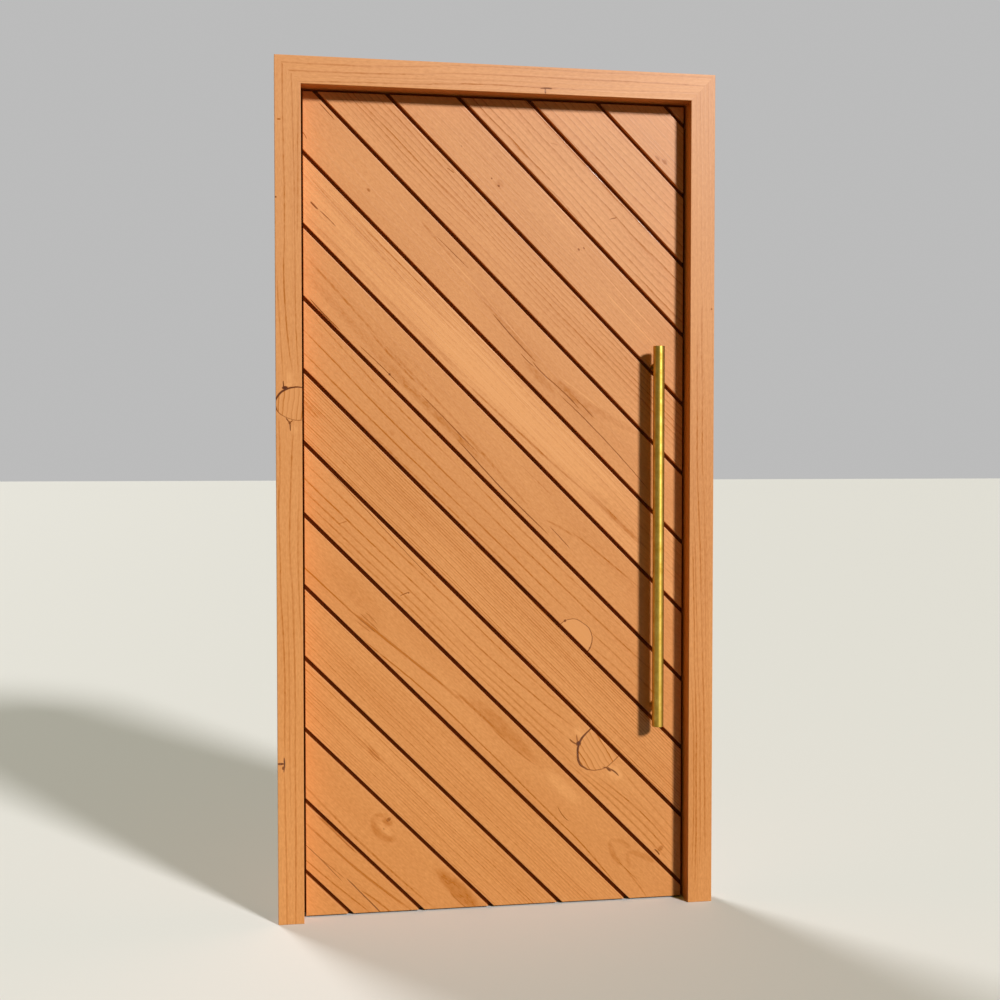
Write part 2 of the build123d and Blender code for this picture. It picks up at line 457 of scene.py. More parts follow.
# %% Marks of the frame
FRAME_STROKES = {
    "hinge_jamb": [
        (-100, 42, 250, 44, 550, 44, 2.6, 0.38, 0), (450, 44.5, 700, 42.5, 950, 34, 2.6, 0.34, 0),
        (850, 34.5, 1050, 34, 1300, 46, 2.6, 0.34, 0), (-100, 22, 200, 19, 420, 17, 2.6, 0.34, 0),
        (400, 18, 600, 18.5, 850, 10, 2.6, 0.42, 0), (780, 11.5, 950, 8, 1150, 5, 2.6, 0.34, 0),
        (250, 31, 500, 30.5, 900, 25, 2.6, 0.21, 0), (700, 62, 850, 55, 1100, 56, 2.6, 0.28, 0),
        (1380, 44, 1500, 29, 1750, 24, 2.6, 0.42, 0), (1650, 24.5, 1900, 21.5, 2250, 19, 2.6, 0.38, 0),
        (1360, 58, 1500, 52, 1750, 48.5, 2.6, 0.31, 0), (1680, 48.7, 1900, 47, 2200, 41, 2.6, 0.31, 0),
        (1360, 20, 1450, 14, 1650, 5, 2.6, 0.31, 0), (1050, 6, 1200, 9, 1300, 6, 2.6, 0.28, 0),
        (1700, 54, 1950, 58, 2120, 61, 2.6, 0.28, 0), (1246, 34.6, 1258, 34.2, 1270, 33.2, 1.8, 0, 0.85),
        (1267, 33.5, 1273, 29, 1280, 24, 2.4, 0, 0.75),
        (1267, 33, 1270.5, 36.5, 1274.5, 40.5, 2.6, 0, 0.55),
        (1351, 20.5, 1362, 19, 1374, 18.6, 1.8, 0, 0.8), (386, 15.5, 408, 17.5, 428, 16.5, 2.2, 0, 0.85),
    ],
    "latch_jamb": [
        (100, 1120, 400, 1116, 750, 1109, 2.6, 0.34, 0), (650, 1111, 900, 1103, 1150, 1094, 2.6, 0.34, 0),
        (50, 1105, 350, 1105, 650, 1099, 2.6, 0.28, 0), (550, 1101, 800, 1092, 1050, 1085, 2.6, 0.28, 0),
        (0, 1092, 350, 1094.5, 650, 1089, 2.6, 0.34, 0), (550, 1090, 750, 1087, 1000, 1078, 2.6, 0.31, 0),
        (50, 1083, 400, 1087, 650, 1077, 2.6, 0.31, 0), (500, 1122, 850, 1117, 1200, 1109, 2.6, 0.21, 0),
        (1050, 1095, 1250, 1093, 1550, 1093.5, 2.6, 0.28, 0),
        (1100, 1108, 1300, 1107, 1450, 1108, 2.6, 0.28, 0),
        (1360, 1105, 1480, 1104.5, 1600, 1104, 2.6, 0.28, 0),
    ],
    "head": [
        (-50, 2162, 200, 2160, 450, 2171, 2.6, 0.31, 0), (380, 2170, 650, 2174, 850, 2170, 2.6, 0.28, 0),
        (750, 2170, 950, 2171, 1200, 2169, 2.6, 0.28, 0), (-50, 2143, 200, 2141, 450, 2152, 2.6, 0.31, 0),
        (360, 2150, 600, 2154, 800, 2150.5, 2.6, 0.28, 0), (700, 2151, 880, 2152, 1200, 2146, 2.6, 0.34, 0),
        (0, 2114, 250, 2119, 550, 2129, 2.6, 0.38, 0), (430, 2128, 600, 2128, 800, 2126, 2.6, 0.34, 0),
        (720, 2126, 900, 2129, 1150, 2132, 2.6, 0.24, 0), (50, 2129, 300, 2134, 700, 2141, 2.6, 0.21, 0),
        (670, 2124.5, 685, 2125.8, 704, 2125, 2.5, 0, 0.75),
    ],
}
FRAME_SPOTS = {
    "hinge_jamb": [
        (1355, 23, 5.5, 9, 0, 1), (1268, 33, 5, 4, 0, 0.7),
        (1363, 32, 6, 9, -0.3, 0), (410, 8, 3.5, 12, 0, 0.75),
        (399, 14.5, 6, 4, 0, 0.6), (1380, 35, 20, 12, -0.17, 0), (1250, 45, 15, 12, -0.17, 0),
        (2020, 11, 3, 6, 0.43, 0.1), (1828, 1, 3, 4, 0, 0.6),
    ],
    "latch_jamb": [
        (1570, 1130, 3, 3, 0.26, 0.2),
    ],
    "head": [
        (685, 2118, 3, 9, 0, 0.55), (684, 2125, 6, 3, 0, 0.75),
    ],
}
FRAME_KNOTS = {"hinge_jamb": (1316, 56, 41.5, 58, 0.75, -0.66, 12, -0.12)}
FRAME_LOOKS = {
    "hinge_jamb": (0.016, 0.12, 0.30, 0.11),
    "latch_jamb": (0.0125, 0.15, 0.30, 0.03),
    "head": (0.014, 0.12, 0.30, 0.15),
}
FRAME_TILTS = {"latch_jamb": -0.02}
print("frame marks", {name: len(rows) for name, rows in FRAME_STROKES.items()})

# %% Jambs and head
for name, outline in OUTLINES.items():
    points, faces = eased_slab(outline, EASED[name], head_low[1], head_high[1])
    along, across = (X, Z) if name == "head" else (Z, X)
    finish = softwood(name + "_softwood", FRAME_LOOKS[name], FRAME_TILTS.get(name, 0.0),
                      FRAME_KNOTS.get(name), FRAME_STROKES[name], FRAME_SPOTS[name])
    grain = np.stack([points @ along, points @ across, points @ Y - head_low[1]], 1)
    piece = make_piece(name + "_planed", points, faces, [finish], grain=grain)
    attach(piece, "frame")
    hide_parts(name)
print("frame timbers", list(OUTLINES))

# %% [markdown]
# ## The core of the leaf
#
# Between the boards lie two plain panels, which show only in the grooves, in the gap round the leaf and
# at the lip. Their dark brown is painted shade: it stands in for the shade deep in the grooves and in
# the gap, over fibres of their own. Their CAD solids are right as they are and get a finish on Object
# coordinates.

# %% Core with painted groove shade
# Painted shade: the dark browns of the core stand in for the shade deep in the grooves and in the gap.
CORE_SHADE_PALE = linear(142, 76, 2)
CORE_SHADE_DARK = linear(100, 53, 1)


def core_painted_groove_shade():
    """Dark brown painted groove shade: fibres along the height, as noise that is long in Z and short in X
    and Y.
    """
    f = Finish("core_painted_groove_shade")
    place = f.tree.nodes.new("ShaderNodeTexCoord").outputs["Object"]
    turned = f.tree.nodes.new("ShaderNodeMapping")
    turned.inputs["Rotation"].default_value = (0, math.pi / 2, 0)
    f.feed(turned.inputs["Vector"], place)
    fibre = f.noise(f.stretched(turned.outputs[0], 5, 220), 3.0, 0.6)
    share = f.calc("MULTIPLY_ADD", fibre, 1.6, 0.5, clamp=True)
    f.feed(f.shader.inputs["Base Color"], f.tint(share, CORE_SHADE_PALE, CORE_SHADE_DARK))
    f.feed(f.shader.inputs["Roughness"], f.calc("MULTIPLY_ADD", fibre, 0.2, 0.65))
    f.shader.inputs["Specular IOR Level"].default_value = 0.2
    f.relief(fibre, 0.0003)
    return f.material


CORE = core_painted_groove_shade()
for name in ("leaf_inner_panel", "leaf_lip_panel"):
    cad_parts[name].data.materials.clear()
    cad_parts[name].data.materials.append(CORE)
print("core panels done")

# %% [markdown]
# ## The front boards
#
# Every board is a strip at 45 degrees, cut off by the leaf's rectangle. The CAD node of each board gives
# the two edges of its strip, so the outline is that strip clipped to the rectangle. Places in the grain
# are measured from the leaf's lower hinge corner: along the boards, down to the right, and square to
# them, up to the right.


# %% Clip a strip to the leaf
def clip(outline, normal, limit):
    """The part of a convex outline where the distance along normal is at most limit.

    A corner beyond the limit goes, and each edge that crosses the limit gets a new corner at the
    crossing.
    """
    corners = np.asarray(outline, float)
    beyond = corners @ normal - limit
    kept = []
    for here, there, a, b in zip(corners, np.roll(corners, -1, 0), beyond, np.roll(beyond, -1)):
        if a <= 0:
            kept.append(here)
        if a * b < 0:
            kept.append(here + (there - here) * a / (a - b))
    return np.array(kept)


def strip_outline(rectangle, across, low, high):
    """A rectangle's part between two distances along `across`."""
    return clip(clip(rectangle, across, high), -across, -low)


def node_points(name):
    """All points of a CAD node, as an array."""
    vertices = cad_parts[name].data.vertices
    flat = np.empty(len(vertices) * 3, np.float32)
    vertices.foreach_get("co", flat)
    return flat.reshape(-1, 3).astype(float)


FRONT_BOARDS = sorted(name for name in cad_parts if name.startswith("front_board_"))
UP_RIGHT = np.array([1.0, 0.0, 1.0]) / math.sqrt(2)
DOWN_RIGHT = np.array([1.0, 0.0, -1.0]) / math.sqrt(2)
front_corners = np.array([BOX[name] for name in FRONT_BOARDS])
leaf_low, leaf_high = front_corners[:, 0].min(0), front_corners[:, 1].max(0)
LEAF = np.array([(leaf_low[0], leaf_low[2]), (leaf_high[0], leaf_low[2]),
                 (leaf_high[0], leaf_high[2]), (leaf_low[0], leaf_high[2])])
strips = {name: node_points(name) @ UP_RIGHT for name in FRONT_BOARDS}
strips = {name: (reach.min(), reach.max()) for name, reach in strips.items()}
print("leaf", leaf_low, leaf_high, "boards", len(FRONT_BOARDS))

# %% How each board was sawn
BOARD_LOOKS = {
    1: (0.030, 0.20, 0.35, 0.02), 2: (0.030, 0.08, 0.25, 0.00), 3: (0.030, 0.05, 0.13, 0.00),
    4: (0.0068, 0.76, 0.44, 0.00), 5: (0.0072, 0.68, 0.42, 0.00), 6: (0.030, 0.05, 0.13, 0.02),
    7: (0.020, 0.10, 0.30, 0.08), 8: (0.0062, 1.00, 0.40, 0.00), 9: (0.024, 0.07, 0.25, 0.03),
    10: (0.030, 0.07, 0.21, 0.03), 11: (0.011, 0.35, 0.84, 0.22), 12: (0.030, 0.04, 0.17, 0.02),
    13: (0.0115, 0.72, 0.36, 0.00), 14: (0.012, 0.17, 0.42, 0.01), 15: (0.0165, 0.80, 0.25, 0.03),
    16: (0.0165, 0.68, 0.25, 0.03), 17: (0.009, 0.42, 0.42, 0.02), 18: (0.012, 0.42, 0.34, 0.00),
}
BOARD_KNOTS = {
    7: (258, 835, 54, 67, -0.8, -0.6, 13, 0.22),
    9: (0, 992, 52, 48, 0.35, 0.1, 4000, 0),
}
print("looks of", len(BOARD_LOOKS), "boards")

# %% Growth lines and cracks that single boards show
BOARD_STROKES = {
    2: [
        (-200, 170, -50, 171, 220, 195, 4, 0.61, 0), (-150, 100, 0, 107, 150, 120, 2.6, 0.48, 0),
        (50, 140, 110, 149, 190, 150, 3, 0.52, 0), (-160, 131, -60, 128, 12, 125, 1.3, 0.35, 0.5),
        (-90, 128, -30, 133, 10, 135, 1.6, 0.43, 0.1), (0, 139, 60, 137, 160, 133.5, 1.7, 0.17, 0.8),
        (-170, 203, -90, 203, -10, 203, 3, 0.43, 0.1),
    ],
    3: [
        (-300, 241, 0, 228, 270, 238, 3.2, 0.38, 0), (-62, 298, -12, 277, 42, 300, 12, 0.28, 0),
        (230, 292, 270, 291, 320, 296, 2, 0.43, 0.1), (-62, 296, -46, 312, -25, 324, 8, 0.19, 0),
    ],
    4: [
        (-202, 424, -176, 422, -150, 421, 2.2, 0.39, 0),
        (-195, 417.5, -170, 416, -142, 415, 2.6, 0.43, 0.08),
        (-186, 411, -165, 410, -146, 409, 2, 0.3, 0),
    ],
    6: [
        (-720, 634, -540, 635, -420, 639, 2.6, 0.61, 0), (-470, 638, -360, 647, -150, 666, 4.2, 0.74, 0),
        (-250, 660, -180, 664, -80, 668, 5, 0.3, 0), (-450, 637, -420, 640, -385, 641, 1.7, 0.26, 0.35),
        (-455, 648, -420, 650, -380, 650, 1.3, 0.26, 0.2),
        (-445, 660, -420, 661, -395, 659, 1.3, 0.26, 0.15),
        (-445, 628, -420, 631, -395, 634, 1.3, 0.26, 0.1), (-420, 603, -220, 620, 50, 622, 2.6, 0.61, 0),
        (-50, 622, 180, 624, 420, 620, 2.6, 0.52, 0), (320, 623, 430, 618, 560, 606, 2.6, 0.48, 0),
        (-150, 675, -40, 678, 60, 679, 5, 0.39, 0), (0, 674, 80, 675, 170, 684, 2.6, 0.39, 0),
        (283, 647.5, 300, 642, 338, 640.5, 1.5, 0.35, 0.3), (450, 677, 475, 662, 530, 654, 10, 0.22, 0),
        (450, 677, 472, 692, 515, 701, 10, 0.17, 0), (508, 688, 540, 706, 590, 718, 10, 0.22, 0),
        (508, 690, 525, 677, 550, 668, 8, 0.16, 0), (510, 654.5, 550, 653, 590, 655.5, 1.8, 0.43, 0),
        (540, 651, 600, 646, 660, 633, 2.6, 0.35, 0),
    ],
    7: [
        (-800, 854, -600, 847, -330, 838, 1.3, 0.26, 0.35), (-900, 824, -500, 829, -120, 836, 2.6, 0.41, 0),
        (-250, 834, -50, 838, 150, 849, 2.6, 0.37, 0), (-900, 796, -580, 796, -250, 802, 2.6, 0.49, 0),
        (-320, 801, -50, 805, 210, 831, 2.6, 0.49, 0), (-850, 770, -500, 777, -150, 779, 2.6, 0.37, 0),
        (-250, 778, 0, 782, 210, 797, 2.6, 0.37, 0), (-800, 756, -500, 759, -100, 762, 2.6, 0.37, 0),
        (-200, 760, 50, 767, 240, 769, 2.6, 0.37, 0), (-780, 741, -450, 745, -100, 748, 2.6, 0.34, 0),
        (-200, 746, 50, 752, 300, 757, 2.6, 0.34, 0), (290, 773, 380, 784, 620, 779, 2.6, 0.45, 0),
        (240, 754, 380, 768, 650, 762, 2.6, 0.41, 0), (200, 745, 400, 753, 650, 748, 2.6, 0.37, 0),
        (330, 834, 450, 823, 600, 814, 2.6, 0.26, 0), (380, 806, 450, 802, 580, 797, 2.6, 0.22, 0),
        (-409, 750, -404, 762, -398, 774, 4, 0.26, 0.4), (-652, 772, -646, 784, -640, 794, 4, 0.3, 0.1),
        (180, 796, 198, 796, 212, 802, 2.6, 0.17, 0.75), (186, 817, 196, 809, 208, 802, 2.6, 0.17, 0.45),
        (298, 802, 318, 813, 352, 816, 2.6, 0.17, 0.8), (560, 744.5, 570, 745, 585, 743, 2.8, 0, 0.6),
    ],
    8: [
        (-950, 932, -910, 931, -870, 929, 3, 0.39, 0), (-940, 925, -910, 924, -880, 922, 2, 0.35, 0),
        (-920, 940, -900, 939, -870, 938, 2, 0.3, 0),
    ],
    9: [
        (-1120, 1062, -750, 1056, -380, 1065, 2.6, 0.46, 0),
        (-480, 1064.5, -150, 1067, 300, 1081, 2.6, 0.46, 0),
        (-1080, 1017, -700, 1022, -380, 1026, 2.6, 0.46, 0),
        (-460, 1024, -200, 1031, -35, 1031, 2.6, 0.46, 0),
        (0, 1035, 100, 1039, 300, 1036, 2.6, 0.36, 0), (-1120, 1107, -800, 1093, -450, 1100, 2.6, 0.33, 0),
        (-550, 1099, -250, 1096, 150, 1107, 2.6, 0.3, 0), (-850, 997, -450, 1001, -50, 1009, 2.6, 0.33, 0),
        (40, 1007, 120, 1015, 250, 1013, 2.6, 0.27, 0),
    ],
    10: [
        (-1200, 1194, -1050, 1190, -900, 1181, 4, 0.28, 0),
        (-950, 1178, -850, 1172, -740, 1173, 4, 0.28, 0),
        (-920, 1180, -750, 1178, -550, 1171, 4, 0.24, 0),
        (-940, 1132.5, -870, 1136, -785, 1136.5, 1.6, 0.26, 0.4),
        (-750, 1158, -650, 1157, -520, 1156, 1.6, 0.35, 0.45),
        (-600, 1142.5, -420, 1136.5, -225, 1136, 1.9, 0.35, 0.6),
        (-620, 1166, -480, 1161, -320, 1152, 5, 0.28, 0),
        (-260, 1154, -220, 1153, -170, 1150, 1.3, 0.17, 0.5),
        (-430, 1213, -370, 1215, -300, 1215, 2, 0.24, 0), (-275, 1158, -240, 1170, -190, 1180, 4, 0.31, 0),
        (-220, 1181, -100, 1198, 60, 1211, 2.6, 0.34, 0),
        (-1110, 1129, -1050, 1126, -990, 1126, 2, 0.26, 0.5),
        (-1200, 1168, -800, 1152, -450, 1150, 14, 0.14, 0),
    ],
    11: [
        (-700, 1263, -450, 1273, -220, 1287, 3.5, 0.44, 0), (-270, 1286, -150, 1291, -20, 1296, 8, 0.27, 0),
        (-1278, 1302, -1262, 1302, -1248, 1302, 3, 0.17, 0.6),
        (-1247, 1303, -1215, 1305, -1185, 1305, 1.8, 0.17, 0.45),
        (-1350, 1347, -1150, 1339, -950, 1333, 2.6, 0.37, 0),
        (-1200, 1356, -1050, 1354, -880, 1358, 2.6, 0.37, 0),
        (-950, 1337, -850, 1340, -680, 1341, 2, 0.33, 0),
        (-1300, 1270, -1000, 1267, -650, 1273, 8, 0.26, 0),
        (-1000, 1318, -850, 1323, -700, 1321, 5, -0.35, 0),
        (-850, 1336, -620, 1341, -400, 1343, 5, -0.4, 0), (-850, 1292, -600, 1296, -300, 1300, 8, -0.35, 0),
        (-450, 1349, -300, 1351, -160, 1350, 5, -0.35, 0), (-750, 1333, -600, 1333, -450, 1331, 2, 0.26, 0),
        (-700, 1302, -550, 1303, -400, 1304, 1.6, 0.22, 0),
    ],
    12: [
        (-1440, 1494.5, -1410, 1494, -1375, 1492, 1.5, 0.17, 0.45),
        (-1415, 1412, -1405, 1411, -1392, 1406, 1.5, 0.17, 0.4),
        (-1000, 1474.5, -940, 1475, -870, 1477, 1.3, 0.17, 0.4),
        (-1020, 1468, -920, 1460, -760, 1456, 2, -0.35, 0),
        (-1060, 1477, -990, 1468, -900, 1463, 5, 0.22, 0),
        (-820, 1457, -700, 1447, -580, 1441, 2, -0.3, 0), (-860, 1453, -700, 1443, -560, 1431, 14, 0.14, 0),
        (-760, 1438, -680, 1433, -580, 1432, 1.8, 0.26, 0.5),
        (-630, 1418, -600, 1418, -575, 1420, 1.3, 0.17, 0.45),
        (-595, 1426.5, -550, 1424, -510, 1427, 1.8, 0.26, 0.45),
        (-540, 1424, -490, 1429, -410, 1427, 1.8, 0.26, 0.5),
        (-445, 1440, -410, 1440, -370, 1439, 1.7, 0.26, 0.4),
        (-500, 1417, -330, 1419, -120, 1410, 1.6, 0.26, 0.45),
        (-545, 1430, -440, 1445, -330, 1463, 16, 0.09, 0),
        (-520, 1449, -450, 1461, -370, 1469, 2.2, -0.35, 0),
        (-430, 1452, -330, 1474, -240, 1502, 12, 0.14, 0),
        (-1120, 1464, -1100, 1463, -1085, 1462, 3, -0.22, 0),
    ],
    13: [
        (-1100, 1616, -1090, 1618, -1075, 1621, 2, 0.35, 0.2),
        (-1300, 1576, -1100, 1572, -900, 1574, 2.6, 0.26, 0),
    ],
    14: [
        (-630, 1695.5, -500, 1693, -380, 1690, 2, -0.43, 0),
        (-650, 1725, -500, 1722, -400, 1720, 2, -0.35, 0),
        (-850, 1740, -800, 1739, -720, 1737, 1.8, -0.35, 0),
        (-1160, 1702, -1000, 1703, -860, 1706, 1.6, 0.26, 0),
        (-1150, 1729, -1050, 1728, -900, 1725, 1.6, 0.22, 0),
        (-720, 1733.5, -600, 1727, -500, 1725, 1.6, 0.22, 0),
    ],
    15: [
        (-711, 1836, -706, 1844, -700, 1852, 3.5, 0.26, 0.35),
        (-960, 1858, -952, 1865, -940, 1870, 3, 0.3, 0),
    ],
}
print("strokes", sum(len(strokes) for strokes in BOARD_STROKES.values()))

# %% Patches and specks on single boards
BOARD_SPOTS = {
    3: [
        (-20, 320, 5.5, 8, 0.43, 0.5), (-18, 314, 18, 15, 0.35, 0), (-10, 297, 30, 12, -0.22, 0),
        (-12, 294, 3, 2, 0.26, 0.3), (250, 310, 105, 25, 0.42, 0),
    ],
    4: [
        (-172, 417, 34, 11, 0.13, 0),
    ],
    6: [
        (30, 693, 160, 22, 0.24, 0), (260, 692, 80, 20, -0.22, 0), (-420, 645, 40, 20, 0.13, 0),
        (-500, 680, 130, 30, 0.1, 0),
    ],
    7: [
        (208, 803, 8, 9, 0.17, 1), (317, 811, 10, 5, 0.26, 0.8), (190, 825, 25, 12, -0.26, 0),
        (335, 815, 30, 20, -0.26, 0), (573, 757, 8, 12, 0.3, 0.1), (-398, 772, 3, 3, 0, 0.5),
    ],
    9: [
        (-49, 1007, 4, 5, 0.26, 0.7), (50, 1004, 3, 5, 0.17, 0.4), (-720, 1035, 12, 8, 0.13, 0),
    ],
    10: [
        (-829, 1137, 4, 3.5, 0.17, 0.7), (-700, 1148, 250, 14, 0.13, 0),
    ],
    11: [
        (-600, 1315, 420, 45, -0.17, 0), (-130, 1300, 130, 22, 0.18, 0),
    ],
    12: [
        (-1196, 1430, 7, 5, 0.27, 0.1), (-550, 1410, 70, 13, 0.18, 0), (-440, 1435, 90, 18, 0.15, 0),
    ],
    14: [
        (-975, 1687, 16, 14, 0.22, 0), (-1000, 1683, 3, 2.5, 0, 0.4), (-974, 1683, 4, 3, 0, 0.5),
        (-712, 1721, 4.5, 3.2, 0.17, 0.35), (-705, 1733.5, 4.5, 2.2, 0.17, 0.3),
        (-1112, 1684, 4, 2, 0, 0.3),
    ],
    17: [
        (-715, 2050, 12, 6, 0.3, 0.1), (-735, 2043, 12, 4, 0.26, 0.1),
    ],
}
print("spots", sum(len(spots) for spots in BOARD_SPOTS.values()))

# %% Make the front boards
CORNER = leaf_low @ UP_RIGHT
START = leaf_low @ DOWN_RIGHT
BOARD_FINISHES, BOARD_MIDDLES = {}, {}
for number, name in enumerate(FRONT_BOARDS, 1):
    low, high = strips[name]
    outline = strip_outline(LEAF, UP_RIGHT[[0, 2]], low, high)
    points, faces = eased_slab(outline, np.ones(len(outline)), leaf_low[1], leaf_high[1])
    finish = softwood(name + "_softwood", BOARD_LOOKS[number], 0.0, BOARD_KNOTS.get(number),
                      BOARD_STROKES.get(number, ()), BOARD_SPOTS.get(number, ()))
    grain = np.stack([points @ DOWN_RIGHT - START, points @ UP_RIGHT - CORNER, points @ Y - leaf_low[1]], 1)
    BOARD_FINISHES[number], BOARD_MIDDLES[number] = finish, (grain.min(0) + grain.max(0)) / 2
    piece = make_piece(name + "_planed", points, faces, [finish], grain=grain)
    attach(piece, "leaf")
    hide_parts(name)
print("front boards", len(FRONT_BOARDS))

# %% [markdown]
# ## The back boards
#
# The back of the leaf is boarded as the front is, turned round: the same strips, measured from the
# corner below the latch. The pattern is one node in the CAD model, so it is one mesh here. Its boards
# come from the same stack: each has the finish of a front board five places on, turned end for end, so
# that no two marks lie back to back.

# %% Back boards
back_low, back_high = BOX["back_boards"]
BACK = np.array([(back_low[0], back_low[2]), (back_high[0], back_low[2]),
                 (back_high[0], back_high[2]), (back_low[0], back_high[2])])
UP_LEFT = np.array([-1.0, 0.0, 1.0]) / math.sqrt(2)
back_start = np.array([leaf_high[0], 0.0, leaf_low[2]]) @ UP_LEFT
FAR = 9.0
LAST = len(FRONT_BOARDS)
all_points, all_faces, all_grain, all_which = [], [], [], []
for number, name in enumerate(FRONT_BOARDS, 1):
    low, high = np.array(strips[name]) - CORNER + back_start
    low = -FAR if number == 1 else low
    high = FAR if number == LAST else high
    outline = strip_outline(BACK, UP_LEFT[[0, 2]], low, high)
    points, faces = eased_slab(outline, np.ones(len(outline)), back_low[1], back_high[1])
    other = number if number in (1, LAST) else (number + 3) % (LAST - 2) + 2
    grain = np.stack([-(points @ UP_RIGHT), points @ UP_LEFT, back_high[1] - points @ Y], 1)
    grain[:, :2] += (BOARD_MIDDLES[other] - (grain.min(0) + grain.max(0)) / 2)[:2]
    start = sum(len(p) for p in all_points)
    all_points.append(points)
    all_faces += [[corner + start for corner in face] for face in faces]
    all_grain.append(grain)
    all_which += [other - 1] * len(faces)
back = make_piece("back_boards_planed", np.concatenate(all_points), all_faces,
                  list(BOARD_FINISHES.values()), all_which, np.concatenate(all_grain))
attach(back, "leaf")
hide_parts("back_boards")
print("back boards", len(all_points))

# %% [markdown]
# ## Brass
#
# The pull and the hinges are satin brass. The bar shows a bright band where it mirrors the lamp, a dark
# one where it mirrors the dim background and the painted shade of the floor far out in front, and warm
# edges where it mirrors the timber. That comes from a rough metal that mirrors what is there, with faint
# brushing round the bar and a little uneven patina. Brushing round the bar spreads what it mirrors along
# its length, so the bands stay narrow and even.

# %% Satin brass
BRASS = linear(210, 180, 90)
BRASS_PATINA = linear(178, 140, 44)
BRUSHED, BRUSHED_TURN = 0.6, 0.25
BRASS_GLOSS, BRASS_GLOSS_NOISE = 0.54, 0.26


def satin_brass():
    """Brushed brass: fine rings round the bar (noise that is short in Z) and soft patches of patina."""
    f = Finish("satin_brass")
    place = f.tree.nodes.new("ShaderNodeTexCoord").outputs["Object"]
    brushed = f.noise(f.stretched(place, 20, 400), 2.0, 0.6)
    patches = f.noise(f.stretched(place, 45, 45), 3.0, 0.6)
    share = f.calc("MULTIPLY_ADD", patches, 1.7, 0.4, clamp=True)
    f.feed(f.shader.inputs["Base Color"], f.tint(share, BRASS, BRASS_PATINA))
    f.shader.inputs["Metallic"].default_value = 1.0
    gloss = f.calc("MULTIPLY_ADD", f.calc("ADD", brushed, patches), BRASS_GLOSS_NOISE, BRASS_GLOSS)
    f.feed(f.shader.inputs["Roughness"], gloss)
    f.shader.inputs["Anisotropic"].default_value = BRUSHED
    f.shader.inputs["Anisotropic Rotation"].default_value = BRUSHED_TURN
    f.relief(brushed, 0.0001, 0.4)
    return f.material


SATIN_BRASS = satin_brass()
print("brass done")

# %% [markdown]
# ## The pulls
#
# A round bar with eased ends on two round posts. A turned shape is a profile carried round an axis: a
# grid of profile points and angles. The end of a post that meets the bar is hollowed to the bar's round,
# so its length differs from angle to angle.

# %% Turned bars and posts
ROUND_STEPS = 96
BAR_EASE = 0.001


def turned_grid(radii, heights, axis_at):
    """A turned shape with flat ends: profile rows (radius, height) carried round an upright axis."""
    angle = np.linspace(0, 2 * math.pi, ROUND_STEPS, endpoint=False)
    rows = len(radii)
    x = axis_at[0] + np.outer(radii, np.cos(angle))
    y = axis_at[1] + np.outer(radii, np.sin(angle))
    z = np.broadcast_to(np.asarray(heights)[:, None], (rows, ROUND_STEPS))
    points = np.stack([x, y, z], -1)
    index = np.arange(rows * ROUND_STEPS).reshape(rows, ROUND_STEPS)
    following = np.roll(index, -1, 1)
    sides = np.stack([index[:-1], following[:-1], following[1:], index[1:]], -1).reshape(-1, 4)
    return points.reshape(-1, 3), sides.tolist() + [index[0][::-1].tolist(), index[-1].tolist()]


def smooth(piece, angle=35):
    """Round faces shade as round, and edges sharper than the angle stay sharp."""
    mesh = piece.data
    mesh.polygons.foreach_set("use_smooth", np.ones(len(mesh.polygons), bool))
    mesh.set_sharp_from_angle(angle=math.radians(angle))


def bar_profile(radius, low, high):
    """Radii and heights of a bar: a quarter round of BAR_EASE at each end."""
    turn = np.linspace(0, math.pi / 2, 5)
    radii = radius - BAR_EASE * (1 - np.sin(turn))
    rise = BAR_EASE * (1 - np.cos(turn))
    return np.concatenate([radii, radii[::-1]]), np.concatenate([low + rise, high - rise[::-1]])


for side in ("front", "back"):
    name = side + "_pull_bar"
    low, high = BOX[name]
    bar_radius, bar_axis = (high[0] - low[0]) / 2, (low + high) / 2
    points, faces = turned_grid(*bar_profile(bar_radius, low[2], high[2]), bar_axis)
    bar = make_piece(name + "_turned", points, faces, [SATIN_BRASS])
    smooth(bar)
    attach(bar, "leaf")
    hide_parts(name)
    for post_name in (side + "_pull_lower_post", side + "_pull_upper_post"):
        low, high = BOX[post_name]
        centre, radius = (low + high) / 2, (high[0] - low[0]) / 2
        leaf_end, bar_side = (high[1], -1) if side == "front" else (low[1], 1)
        angle = np.linspace(0, 2 * math.pi, ROUND_STEPS, endpoint=False)
        x, z = radius * np.cos(angle), radius * np.sin(angle)
        saddle = bar_axis[1] - bar_side * np.sqrt(bar_radius**2 - x**2)
        share = np.array([0.0, 0.5, 1.0])[:, None]
        y = leaf_end + share * (saddle - leaf_end)[None]
        grid = np.stack([centre[0] + x + 0 * y, y, centre[2] + z + 0 * y], -1)
        index = np.arange(grid.shape[0] * ROUND_STEPS).reshape(-1, ROUND_STEPS)
        following = np.roll(index, -1, 1)
        sides = np.stack([index[:-1], following[:-1], following[1:], index[1:]], -1)
        sides = sides.reshape(-1, 4) if side == "back" else sides.reshape(-1, 4)[:, ::-1]
        caps = [index[0].tolist(), index[-1][::-1].tolist()]
        caps = caps if side == "front" else [cap[::-1] for cap in caps]
        post = make_piece(post_name + "_turned", grid.reshape(-1, 3), sides.tolist() + caps, [SATIN_BRASS])
        smooth(post)
        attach(post, "leaf")
        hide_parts(post_name)
print("pulls done")

# %% Hinges keep their CAD solids
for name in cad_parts:
    if "_hinge_" in name:
        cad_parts[name].data.materials.clear()
        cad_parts[name].data.materials.append(SATIN_BRASS)
print("hinges finished in brass")
